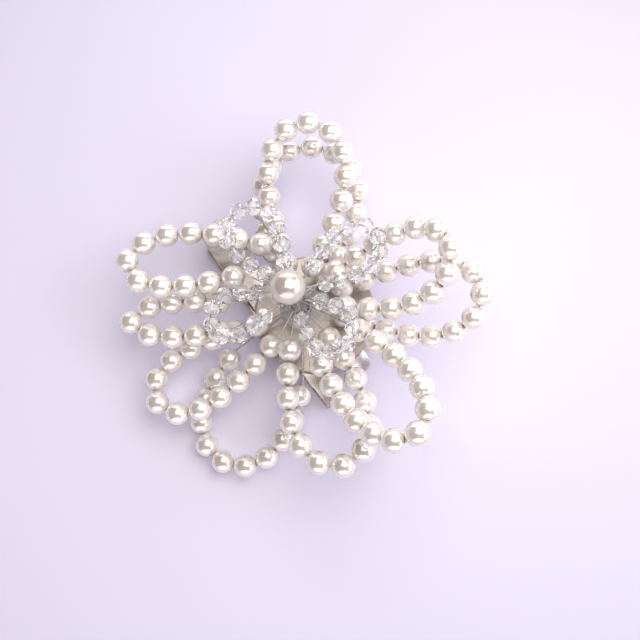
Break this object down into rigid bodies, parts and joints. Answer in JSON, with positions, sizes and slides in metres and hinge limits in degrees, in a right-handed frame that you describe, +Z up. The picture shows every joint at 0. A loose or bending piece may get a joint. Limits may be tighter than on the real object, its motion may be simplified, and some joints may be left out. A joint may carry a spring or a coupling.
{
  "type": "flower hair clip",
  "caption": "Beaded wire flower of pearl petals and faceted crystal loops on a round disc, with a sprung alligator hair clip and a bar pin underneath.",
  "frame": {"origin": "middle of the flat sole of the clip's lower arm, on the surface that the clip lies on", "axes": "+X along the clip to the jaw tip, +Z up through the flower, +Y from the clip to the bar pin"},
  "size_m": [0.0794, 0.0794, 0.0373],
  "materials": {
    "pearl": "ivory nacre coating, glossy",
    "crystal": "clear faceted glass",
    "wire": "fine bright silver wire",
    "disc": "polished nickel plate",
    "glue": "clear set glue",
    "solder": "dull solder",
    "clip": "bright nickel plate",
    "rivet": "bright nickel plate",
    "spring": "dark spring steel",
    "pin": "bright nickel plate",
    "needle": "polished steel",
    "catch": "bright nickel plate"
  },
  "bodies": {
    "flower": {"base_disc": "disc", "glue_pad": "glue", "clip_solder": "solder", "upper_arm": "clip", "pivot_rivet": "rivet", "clip_spring": "spring", "pin_bar": "pin", "pin_rivet": "rivet", "catch_ring": "pin", "stem_core": "wire", "stem_strands": "wire", "binding_wire": "wire", "centre_pearl": "pearl", "centre_wire": "wire", "upper_petal_1_pearls": "pearl", "upper_petal_2_pearls": "pearl", "upper_petal_3_pearls": "pearl", "upper_petal_4_pearls": "pearl", "upper_petal_5_pearls": "pearl", "upper_petal_1_wire": "wire", "upper_petal_2_wire": "wire", "upper_petal_3_wire": "wire", "upper_petal_4_wire": "wire", "upper_petal_5_wire": "wire", "lower_petal_1_pearls": "pearl", "lower_petal_2_pearls": "pearl", "lower_petal_3_pearls": "pearl", "lower_petal_4_pearls": "pearl", "lower_petal_5_pearls": "pearl", "lower_petal_1_wire": "wire", "lower_petal_2_wire": "wire", "lower_petal_3_wire": "wire", "lower_petal_4_wire": "wire", "lower_petal_5_wire": "wire", "crystal_loop_1_beads": "crystal", "crystal_loop_2_beads": "crystal", "crystal_loop_3_beads": "crystal", "crystal_loop_4_beads": "crystal", "crystal_loop_1_wire": "wire", "crystal_loop_2_wire": "wire", "crystal_loop_3_wire": "wire", "crystal_loop_4_wire": "wire"},
    "lower_arm": {"lower_arm": "clip"},
    "needle": {"pin_needle": "needle"},
    "catch": {"catch_sleeve": "catch"}
  },
  "joints": [
    {"name": "clip_hinge", "type": "hinge", "parent": "flower", "child": "lower_arm", "pos_m": [-0.011, 0, 0.0025], "axis": [0, 1, 0], "range_deg": [0, 25], "stiffness_Nm_per_rad": 0.05, "springref_deg": -34.38, "deforming": ["clip_spring"]},
    {"name": "needle_hinge", "type": "hinge", "parent": "flower", "child": "needle", "pos_m": [0.0217, 0.01, 0.0026], "axis": [0, -1, 0], "range_deg": [0, 75]},
    {"name": "catch_turn", "type": "hinge", "parent": "flower", "child": "catch", "pos_m": [-0.0081, 0.01, 0.0026], "axis": [1, 0, 0], "range_deg": [0, 110]}
  ]
}
